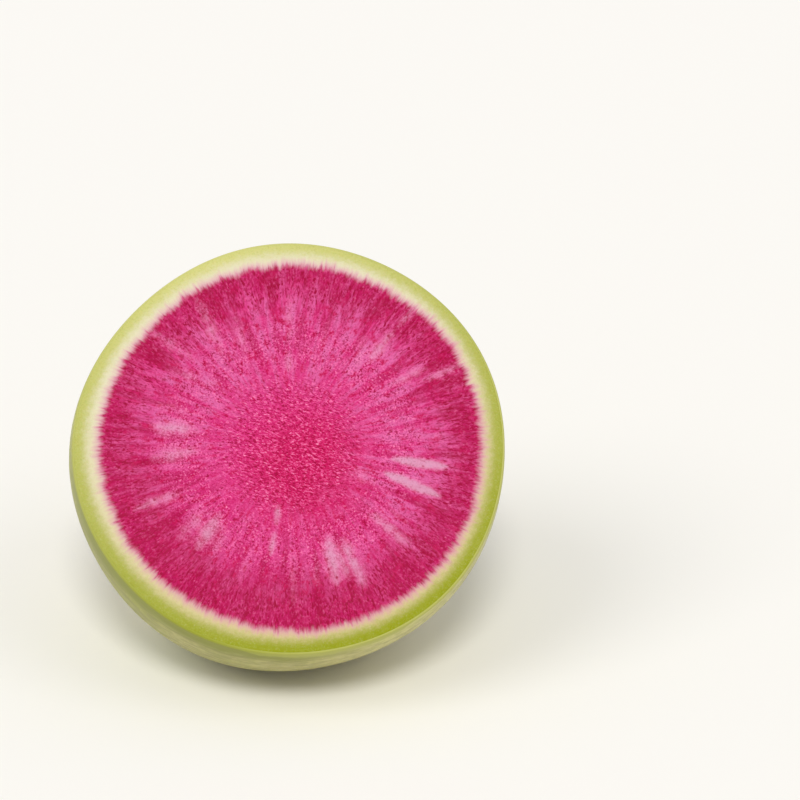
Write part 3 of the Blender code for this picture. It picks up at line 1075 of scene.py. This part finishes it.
def skin_edge(f, around, from_cut):
    """Skin by the cut: cloudy and dull with an olive band at the lower left, and light green all round."""
    lower_left = f.rise(f.towards(around, LOWER_LEFT), 0.40, 0.90)
    cloudy = f.bands(around, 0.30, 1.2, 3.0, 0.65, 0.8)
    dull = f.times(lower_left, f.rise(from_cut, 0.10, 0.55, 0.75, 0.0), f.rise(cloudy, 0.56, 0.44, 0.45, 1.0))
    f.paint(dull, "skin_grey")
    deep = f.times(lower_left, f.rise(cloudy, 0.44, 0.34, 0.0, 0.35))
    f.paint(deep, "skin_deep")
    f.paint(f.rise(from_cut, 0.01, 0.05, 0.50, 0.0), "light_green")
    wavy = f.sum(from_cut, f.swing(f.noise(around, 5.0), 0.05))
    band = f.times(f.rise(wavy, 0.020, 0.070, 0.85, 0.0), lower_left)
    f.paint(band, "olive")


def skin_rim(f, around, from_cut):
    """The rim at the cut, green as the ring and lighter towards the right, partly as a painted highlight,
    which laps over the edge at the bottom.
    """
    right = f.rise(f.towards(around, RIM_HIGHLIGHT_SIDE), 0.1, 0.8)
    rim, _ = ring_green(f, around)
    # Lighter towards the right: partly the rim's own pale green, partly a painted highlight
    rim = f.mix(f.times(right, 0.55), rim, "light_green")
    bottom = f.rise(f.towards(around, BOTTOM), 0.91, 0.96)
    lap = f.times(bottom, f.rise(f.noise(around, 2.2), 0.30, 0.62, -0.009, -0.019))
    f.paint(f.rise(f.sum(from_cut, lap), 0.0, 0.007, 1.0, 0.0), rim)


def root_tone(f, around, root_share, rings):
    """The tap root: cream with tan rings and streaks, browner towards its tip."""
    streaks = f.streaks(around, 0.12, 1.4, 3.0, 0.6)
    tone = f.mix(f.rise(streaks, 0.45, 0.65, 0.0, 0.55), "skin_root", "scar")
    tone = f.mix(f.rise(rings, 0.52, 0.66, 0.0, 0.45), tone, "cork")
    return f.mix(f.rise(root_share, 0.80, 1.0, 0.0, 0.6), tone, "cork")


def cork_tone(f, place, around, grain):
    """Tan cork with paler fibres and darker gaps."""
    fibres = f.streaks(around, 0.30, 0.55, 3.0, 0.7, 1.2)
    tone = f.mix(f.rise(f.noise(place, 1.5), 0.38, 0.62), "cork", "scar")
    tone = f.mix(f.rise(fibres, 0.52, 0.62, 0.0, 0.8), tone, "hair")
    return f.mix(f.rise(grain, 0.47, 0.36, 0.0, 0.8), tone, "dark_cork")


def hair_finish(colours):
    """Dry hair roots, browner in places."""
    f = Finish("radish_hair_roots", colours)
    f.tone = f.mix(f.rise(f.noise(f.place_mm(), 1.2), 0.4, 0.65), "hair", "cork")
    return f.finish(HAIR_ROUGHNESS)


def hair_starts(body, sizes, draw):
    """Places on scars and on the tap root where a hair root leaves, each with the way out."""
    rings, neck_end = outer_rings(body)
    scars = list(scar_places(neck_end))
    root_start = next(i for i, ring in enumerate(rings) if ring.root_share > 0)
    for number in range(sizes.hair_count):
        if number % HAIR_ON_SCAR_EVERY == 0:
            angle, length, size = scars[draw.integers(len(scars))]
            angle += draw.normal(0, HAIR_TURN_ON_SCAR)
            length += draw.normal(0, HAIR_SLIDE_ON_SCAR)
            ring = min(rings, key=lambda ring: abs(ring.length - length))
        else:
            reach = draw.beta(*HAIR_REACH_ON_ROOT)
            ring = rings[root_start + int(reach * (ROOT_RINGS - 2))]
            angle = draw.uniform(0, math.tau)
            size = 1.0
        out = math.cos(angle) * ring.across + math.sin(angle) * ring.up
        lobe = lobe_factor(np.array(angle)) if ring.lobed else 1.0
        yield ring.centre + out * (ring.radius * float(lobe) - HAIR_SINK), out, size


def make_hairs(sizes, colours):
    """The hair roots, but for those that would start too near the surface that it lies on."""
    body = Body(sizes)
    draw = np.random.default_rng(sizes.hair_seed)
    shape = bmesh.new()
    for start, out, size in hair_starts(body, sizes, draw):
        if start[2] < HAIR_LOWEST_START:
            continue
        length = sizes.hair_length * size * draw.uniform(*HAIR_LENGTHS) ** HAIR_LENGTH_POWER
        aside = unit(np.cross(out, draw.normal(size=3)))
        curl = draw.uniform(*HAIR_CURLS)
        add_hair(shape, start, out, aside, length, curl, HAIR_RADIUS * draw.uniform(*HAIR_THICKNESSES))
    mesh = bpy.data.meshes.new("hair_roots")
    shape.to_mesh(mesh)
    shape.free()
    mesh.shade_smooth()
    mesh.materials.append(hair_finish(colours))
    return add_object("hair_roots", mesh)


def add_hair(shape, start, out, aside, length, curl, radius):
    """A thin tapered tube that leaves the skin, lies over to one side and stays above the surface."""
    spot, last = np.array(start), None
    for step in range(HAIR_STEPS + 1):
        turn = curl * step / HAIR_STEPS
        heading = out * math.cos(turn) + aside * math.sin(turn)
        width = radius * (1 - HAIR_TAPER * step / HAIR_STEPS)
        side = unit(np.cross(heading, (0.31, 0.17, 0.93)))
        top = np.cross(heading, side)
        loop = []
        for number in range(HAIR_SIDES):
            angle = math.tau * number / HAIR_SIDES
            point = spot + (side * math.cos(angle) + top * math.sin(angle)) * width
            loop.append(shape.verts.new((point[0], point[1], max(point[2], HAIR_CLEARANCE))))
        if last:
            for i in range(HAIR_SIDES):
                j = (i + 1) % HAIR_SIDES
                shape.faces.new((last[i], last[j], loop[j], loop[i]))
        else:
            shape.faces.new(loop[::-1])
        last = loop
        spot = spot + heading * (length / HAIR_STEPS)
        spot[2] = max(spot[2], width)
    shape.faces.new(last)


def dress(piece):
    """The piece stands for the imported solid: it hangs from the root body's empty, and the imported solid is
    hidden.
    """
    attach(piece, "root")
    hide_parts(NODE)


def check_fit(piece):
    """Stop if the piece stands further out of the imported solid's box than a fine surface would."""
    low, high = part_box(NODE)
    places = np.array([vertex.co for vertex in piece.data.vertices])
    over = max((np.array(low) - places.min(0)).max(), (places.max(0) - np.array(high)).max())
    if over > FIT_TOLERANCE:
        raise RuntimeError(f"{piece.name} stands {over * 1000:.2f} mm out of the packed solid's box")


class RADISH_OT_add_flesh(bpy.types.Operator):
    """Add the cut flesh with its pale and green rings"""

    bl_idname = "radish.add_flesh"
    bl_label = "Add Cut Flesh"

    def execute(self, context):
        piece = make_flesh(context.scene.radish_sizes, context.scene.radish_colours)
        check_fit(piece)
        dress(piece)
        return {"FINISHED"}


class RADISH_OT_add_skin(bpy.types.Operator):
    """Add the skin with its scars and the tap root"""

    bl_idname = "radish.add_skin"
    bl_label = "Add Skin and Tap Root"

    def execute(self, context):
        piece = make_skin(context.scene.radish_sizes, context.scene.radish_colours)
        check_fit(piece)
        dress(piece)
        return {"FINISHED"}


class RADISH_OT_add_hairs(bpy.types.Operator):
    """Add the hair roots on the scars and the tap root"""

    bl_idname = "radish.add_hairs"
    bl_label = "Add Hair Roots"

    def execute(self, context):
        piece = make_hairs(context.scene.radish_sizes, context.scene.radish_colours)
        dress(piece)
        return {"FINISHED"}


class RADISH_OT_add_studio(bpy.types.Operator):
    """Add the pale floor, the soft light and the camera"""

    bl_idname = "radish.add_studio"
    bl_label = "Add Studio"

    def execute(self, context):
        studio = context.scene.radish_studio
        add_floor(studio)
        add_lights(context.scene, studio)
        add_camera(context.scene, studio, Body(context.scene.radish_sizes))
        return {"FINISHED"}


def add_floor(studio):
    half = studio.floor_size / 2
    corners = [(-half, -half), (half, -half), (half, half), (-half, half)]
    mesh = bpy.data.meshes.new("floor")
    mesh.from_pydata([(x, y, -FLOOR_DROP) for x, y in corners], [], [(0, 1, 2, 3)])
    finish = Finish("pale_floor")
    finish.tone = studio.floor_colour
    mesh.materials.append(finish.finish(FLOOR_ROUGHNESS, specular_ior_level=0.1))
    floor = add_object("floor", mesh)


def add_lights(scene, studio):
    for name, shines_from, width, share, tint in LAMPS:
        light = bpy.data.lights.new(name, "SUN")
        light.angle = width
        light.energy = studio.lamp_strength * share
        light.color = tint
        lamp = add_object(name, light)
        lamp.rotation_euler = Vector(shines_from).to_track_quat("Z", "Y").to_euler()
    world = bpy.data.worlds.new("studio")
    world.use_nodes = True
    fill = world.node_tree.nodes["Background"]
    fill.inputs["Color"].default_value = (*FILL_TINT, 1)
    fill.inputs["Strength"].default_value = studio.fill_strength
    scene.world = world
    scene.view_settings.view_transform = "Standard"


def add_camera(scene, studio, body):
    """The camera looks along a fixed angle and puts the cut's middle at its pixel of the photograph."""
    turn, height = studio.camera_turn, studio.camera_height
    back = Vector((math.sin(turn) * math.cos(height), -math.cos(turn) * math.cos(height), math.sin(height)))
    right = Vector((math.cos(turn), math.sin(turn), 0))
    up = back.cross(right)
    middle = FRAME_PIXELS / 2
    aside = (FACE_PIXEL[0] - middle) / FOCAL_PIXELS * CAMERA_DEPTH
    above = (middle - FACE_PIXEL[1]) / FOCAL_PIXELS * CAMERA_DEPTH
    face_centre = Vector(body.centre(body.sizes.cut_height))
    lens = bpy.data.cameras.new("camera")
    lens.sensor_width = SENSOR_WIDTH_MM
    lens.lens = FOCAL_PIXELS / FRAME_PIXELS * SENSOR_WIDTH_MM
    camera = add_object("camera", lens)
    camera.matrix_world = Matrix((right, up, back)).transposed().to_4x4()
    camera.location = face_centre + back * CAMERA_DEPTH - right * aside - up * above
    scene.camera = camera


class RADISH_PT_panel(bpy.types.Panel):
    """Sizes, colours and steps of the radish half"""

    bl_idname = "RADISH_PT_panel"
    bl_label = "Watermelon Radish Half"
    bl_space_type = "VIEW_3D"
    bl_region_type = "UI"
    bl_category = "Radish"

    def draw(self, context):
        scene = context.scene
        for settings in (scene.radish_sizes, scene.radish_colours, scene.radish_studio):
            box = self.layout.box()
            for name in settings.__annotations__:
                box.prop(settings, name)
        for step in STEPS:
            self.layout.operator(step.bl_idname)


STEPS = (RADISH_OT_add_flesh, RADISH_OT_add_skin, RADISH_OT_add_hairs, RADISH_OT_add_studio)
CLASSES = (RadishSizes, RadishColours, RadishStudio, *STEPS, RADISH_PT_panel)


def register():
    for item in CLASSES:
        bpy.utils.register_class(item)
    bpy.types.Scene.radish_sizes = PointerProperty(type=RadishSizes)
    bpy.types.Scene.radish_colours = PointerProperty(type=RadishColours)
    bpy.types.Scene.radish_studio = PointerProperty(type=RadishStudio)


def unregister():
    del bpy.types.Scene.radish_studio
    del bpy.types.Scene.radish_colours
    del bpy.types.Scene.radish_sizes
    for item in reversed(CLASSES):
        bpy.utils.unregister_class(item)


def main():
    register()
    bpy.ops.radish.add_flesh()
    bpy.ops.radish.add_skin()
    bpy.ops.radish.add_hairs()
    bpy.ops.radish.add_studio()


if __name__ == "__main__":
    main()
